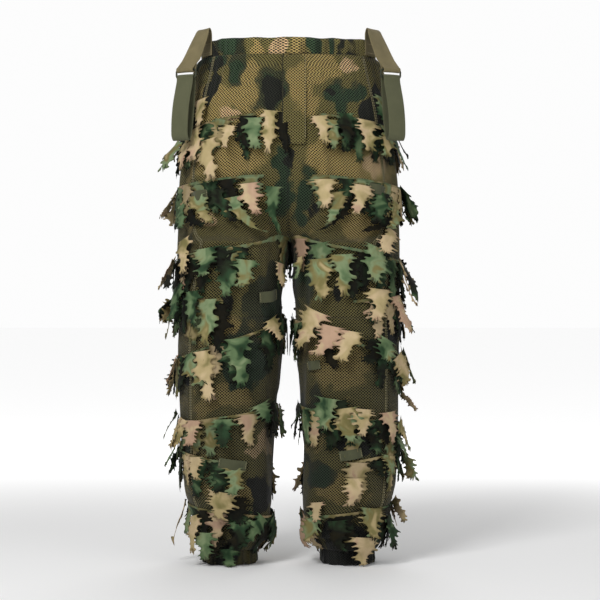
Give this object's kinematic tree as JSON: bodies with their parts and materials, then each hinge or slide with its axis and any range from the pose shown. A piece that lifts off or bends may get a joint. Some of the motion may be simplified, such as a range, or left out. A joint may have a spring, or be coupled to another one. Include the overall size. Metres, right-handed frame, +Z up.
{
  "type": "ghillie suit trousers",
  "caption": "Camouflage over-trousers of a leafy ghillie suit, with jagged leaf strips, an elastic waist, a zip fly, hanging side straps and gathered hems.",
  "frame": {"origin": "on the ground plane, under the middle of the whole object's box", "axes": "+Z up, -Y the wearer's front, +X the wearer's left"},
  "size_m": [0.4854, 0.2984, 1.0716],
  "materials": {
    "netting": "matte diamond netting over a soft-edged camouflage print",
    "side_netting": "matte netting, darker, with a ripple across",
    "leaf_cloth": "smooth printed leaf cloth with laser-cut edges, tan to dark green",
    "tab_cloth": "tan printed cloth folded to a strap",
    "olive_webbing": "ribbed olive webbing",
    "elastic": "dark knitted elastic",
    "ring_plastic": "dark olive moulded plastic",
    "zip_tape": "woven tape with a coil edge",
    "zip_black": "black enamel"
  },
  "bodies": {
    "root": {"foliage_loop_hip_L": "olive_webbing", "foliage_loop_hip_R": "olive_webbing", "hip_back_L": "netting", "hip_back_R": "netting", "hip_front_L": "netting", "hip_front_R": "netting", "hip_side_L": "side_netting", "hip_side_R": "side_netting", "leaf_strip_hip_lower_L": "leaf_cloth", "leaf_strip_hip_lower_R": "leaf_cloth", "leaf_strip_hip_upper_L": "leaf_cloth", "leaf_strip_hip_upper_R": "leaf_cloth", "waist_elastic": "elastic", "waistband": "netting", "zip_tape_L": "zip_tape", "zip_tape_R": "zip_tape"},
    "fly_flap": {"fly_flap": "netting"},
    "shin_L": {"foliage_loop_shin_L": "olive_webbing", "hem_casing_L": "netting", "hem_elastic_L": "elastic", "leaf_strip_shin_lower_L": "leaf_cloth", "leaf_strip_shin_middle_L": "leaf_cloth", "leaf_strip_shin_upper_L": "leaf_cloth", "shin_back_L": "netting", "shin_front_L": "netting", "shin_side_L": "side_netting"},
    "shin_R": {"foliage_loop_shin_R": "olive_webbing", "hem_casing_R": "netting", "hem_elastic_R": "elastic", "leaf_strip_shin_lower_R": "leaf_cloth", "leaf_strip_shin_middle_R": "leaf_cloth", "leaf_strip_shin_upper_R": "leaf_cloth", "shin_back_R": "netting", "shin_front_R": "netting", "shin_side_R": "side_netting"},
    "thigh_L": {"foliage_loop_thigh_L": "olive_webbing", "leaf_strip_knee_L": "leaf_cloth", "leaf_strip_thigh_middle_L": "leaf_cloth", "leaf_strip_thigh_upper_L": "leaf_cloth", "thigh_back_L": "netting", "thigh_front_L": "netting", "thigh_side_L": "side_netting"},
    "thigh_R": {"foliage_loop_thigh_R": "olive_webbing", "leaf_strip_knee_R": "leaf_cloth", "leaf_strip_thigh_middle_R": "leaf_cloth", "leaf_strip_thigh_upper_R": "leaf_cloth", "thigh_back_R": "netting", "thigh_front_R": "netting", "thigh_side_R": "side_netting"},
    "strap_loop_L": {"strap_loop_L": "olive_webbing"},
    "strap_loop_R": {"strap_loop_R": "olive_webbing"},
    "strap_ring_L": {"strap_ring_L": "ring_plastic"},
    "strap_ring_R": {"strap_ring_R": "ring_plastic"},
    "strap_tab_L": {"strap_tab_L": "tab_cloth"},
    "strap_tab_R": {"strap_tab_R": "tab_cloth"},
    "zip_pull": {"zip_pull": "zip_black"},
    "zip_slider": {"zip_slider": "zip_black"}
  },
  "joints": [
    {"name": "hip_bend_L", "type": "hinge", "parent": "root", "child": "thigh_L", "pos_m": [0.12, -0.01005, 0.8], "axis": [-1, 0, 0], "range_deg": [-20, 90]},
    {"name": "knee_bend_L", "type": "hinge", "parent": "thigh_L", "child": "shin_L", "pos_m": [0.12, 0.01995, 0.455], "axis": [1, 0, 0], "range_deg": [0, 90]},
    {"name": "strap_swing_L", "type": "hinge", "parent": "root", "child": "strap_tab_L", "pos_m": [0.16242, -0.0653, 1.049], "axis": [-0.5592, -0.829, 0], "range_deg": [0, 90]},
    {"name": "ring_swing_L", "type": "hinge", "parent": "strap_tab_L", "child": "strap_ring_L", "pos_m": [0.20246, -0.09231, 0.986], "axis": [-0.8829, -0.4695, 0], "range_deg": [0, 35]},
    {"name": "loop_swing_L", "type": "hinge", "parent": "strap_ring_L", "child": "strap_loop_L", "pos_m": [0.20246, -0.09231, 0.971], "axis": [-0.8829, -0.4695, 0], "range_deg": [0, 60]},
    {"name": "hip_bend_R", "type": "hinge", "parent": "root", "child": "thigh_R", "pos_m": [-0.12, -0.01005, 0.8], "axis": [-1, 0, 0], "range_deg": [-20, 90]},
    {"name": "knee_bend_R", "type": "hinge", "parent": "thigh_R", "child": "shin_R", "pos_m": [-0.12, 0.01995, 0.455], "axis": [1, 0, 0], "range_deg": [0, 90]},
    {"name": "strap_swing_R", "type": "hinge", "parent": "root", "child": "strap_tab_R", "pos_m": [-0.16242, -0.0653, 1.049], "axis": [-0.5592, 0.829, 0], "range_deg": [0, 90]},
    {"name": "ring_swing_R", "type": "hinge", "parent": "strap_tab_R", "child": "strap_ring_R", "pos_m": [-0.20246, -0.09231, 0.986], "axis": [-0.8829, 0.4695, 0], "range_deg": [0, 35]},
    {"name": "loop_swing_R", "type": "hinge", "parent": "strap_ring_R", "child": "strap_loop_R", "pos_m": [-0.20246, -0.09231, 0.971], "axis": [-0.8829, 0.4695, 0], "range_deg": [0, 60]},
    {"name": "fly_flap_swing", "type": "hinge", "parent": "root", "child": "fly_flap", "pos_m": [0.034, -0.13449, 0.9225], "axis": [0, 0.1041, 0.9946], "range_deg": [0, 110]},
    {"name": "zip_slide", "type": "slide", "parent": "root", "child": "zip_slider", "axis": [0, -0.1041, -0.9946], "range_m": [0, 0.124]},
    {"name": "zip_pull_swing", "type": "hinge", "parent": "zip_slider", "child": "zip_pull", "pos_m": [0, -0.11671, 0.99701], "axis": [-1, 0, 0], "range_deg": [0, 15]}
  ]
}
